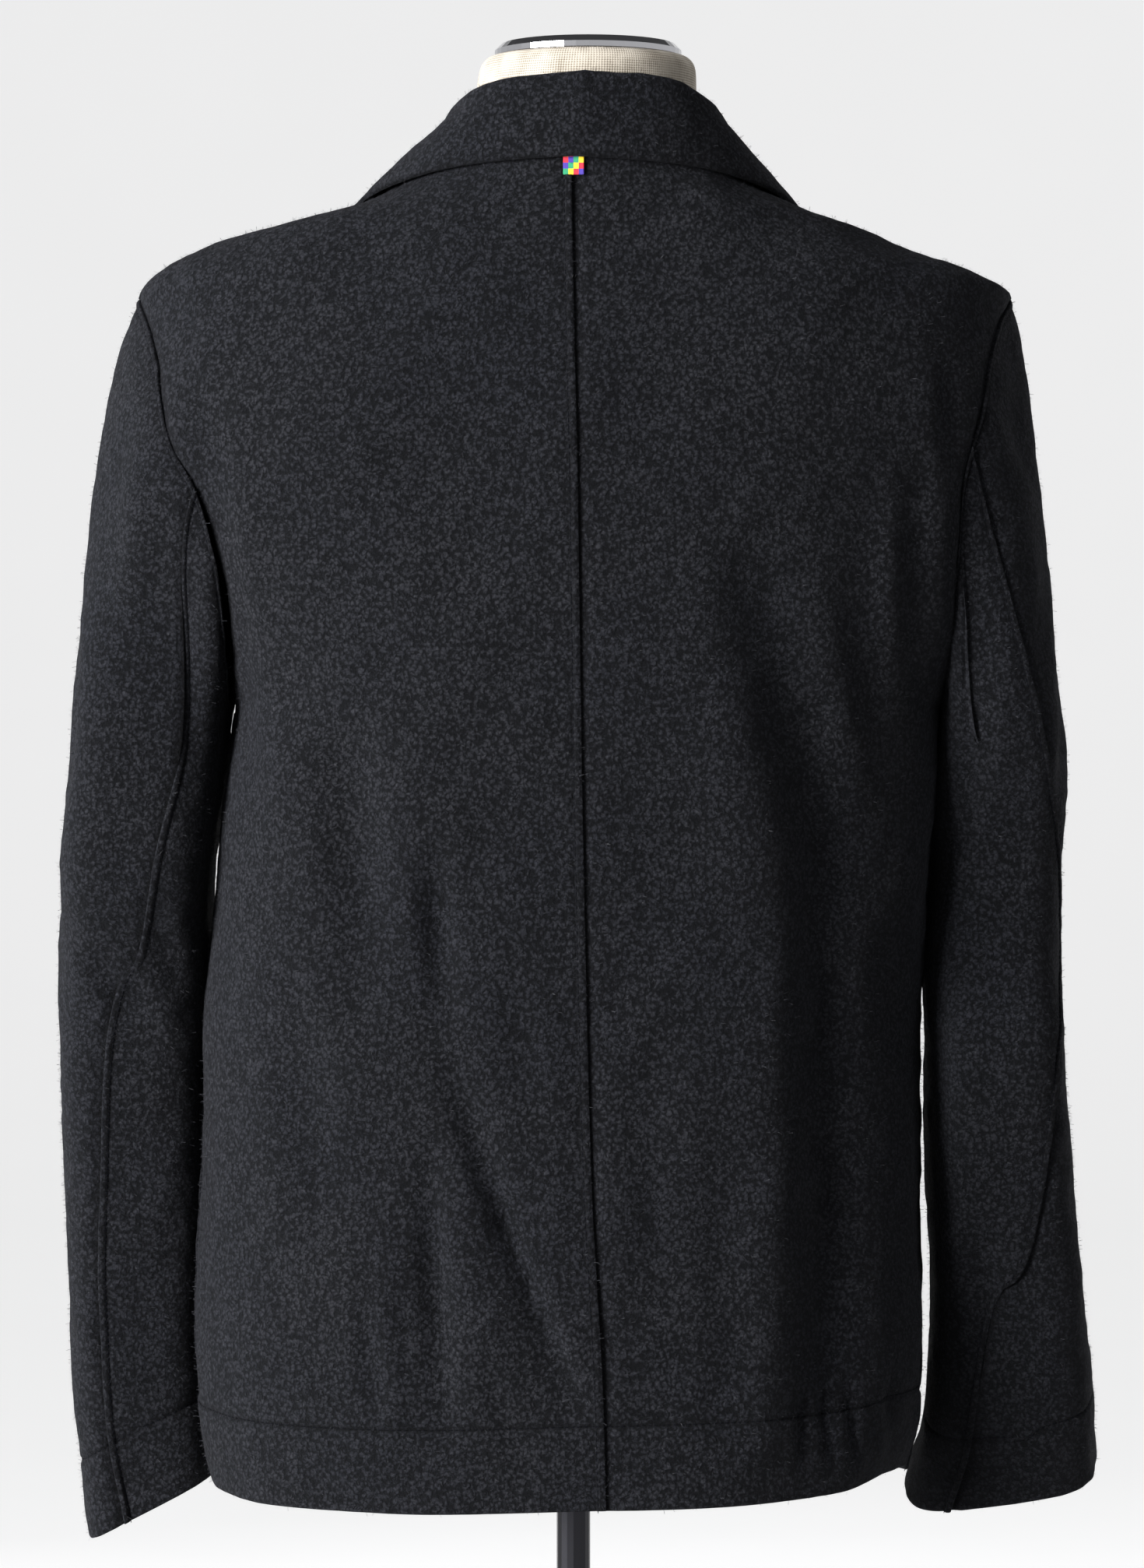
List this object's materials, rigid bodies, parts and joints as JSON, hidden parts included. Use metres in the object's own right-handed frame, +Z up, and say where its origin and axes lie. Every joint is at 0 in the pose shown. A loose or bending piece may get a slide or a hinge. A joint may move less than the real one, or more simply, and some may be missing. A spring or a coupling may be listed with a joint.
{
  "type": "short coat on a dress form",
  "caption": "Hip-length boiled wool coat with a folded collar, buttoned over a limbless dress form on a pole and a round base plate.",
  "frame": {"origin": "centre of the base plate's underside, on the floor", "axes": "+Z up the pole to the neck, -Y out of the coat's front, +X to the wearer's left"},
  "size_m": [0.5695, 0.36, 1.3943],
  "materials": {
    "boiled_wool": "felted wool, near-black navy, matt with a short nap",
    "linen": "plain woven linen, natural",
    "chrome": "polished",
    "dark_steel": "dark satin steel",
    "horn": "dark horn, satin",
    "ribbon": null
  },
  "bodies": {
    "root": {"back_left": "boiled_wool", "back_right": "boiled_wool", "front_left": "boiled_wool", "front_right": "boiled_wool", "collar": "boiled_wool", "sleeve_top_left": "boiled_wool", "sleeve_under_left": "boiled_wool", "sleeve_top_right": "boiled_wool", "sleeve_under_right": "boiled_wool", "tab": "ribbon", "button_1": "horn", "button_2": "horn", "button_3": "horn", "button_4": "horn", "form_torso": "linen", "form_cap": "chrome", "form_pole": "dark_steel", "form_base": "dark_steel"}
  },
  "joints": []
}
